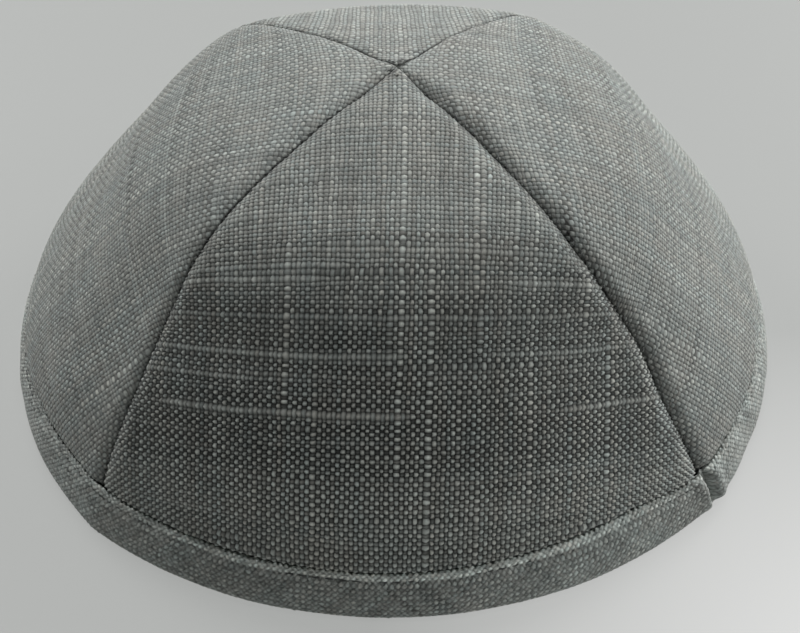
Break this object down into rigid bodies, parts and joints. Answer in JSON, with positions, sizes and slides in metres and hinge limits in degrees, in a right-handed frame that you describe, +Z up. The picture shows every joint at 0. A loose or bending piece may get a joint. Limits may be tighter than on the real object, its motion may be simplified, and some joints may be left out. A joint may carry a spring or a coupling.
{
  "type": "kippah",
  "caption": "Domed cloth skullcap of triangular gores that meet in a point at the crown, with a bias binding folded round the rim.",
  "frame": {"origin": "on the table, under the middle of the rim's outline", "axes": "+Z up through the crown, -Y out through the middle of the front gore, +X towards the gore on the right of the picture"},
  "size_m": [0.1611, 0.1608, 0.062],
  "materials": {
    "gore_cloth": "matt plain weave with slubs",
    "binding_cloth": "matt plain weave cut on the bias"
  },
  "bodies": {
    "root": {"panel_front": "gore_cloth", "panel_right": "gore_cloth", "panel_back": "gore_cloth", "panel_left": "gore_cloth", "rim_binding": "binding_cloth"}
  },
  "joints": []
}
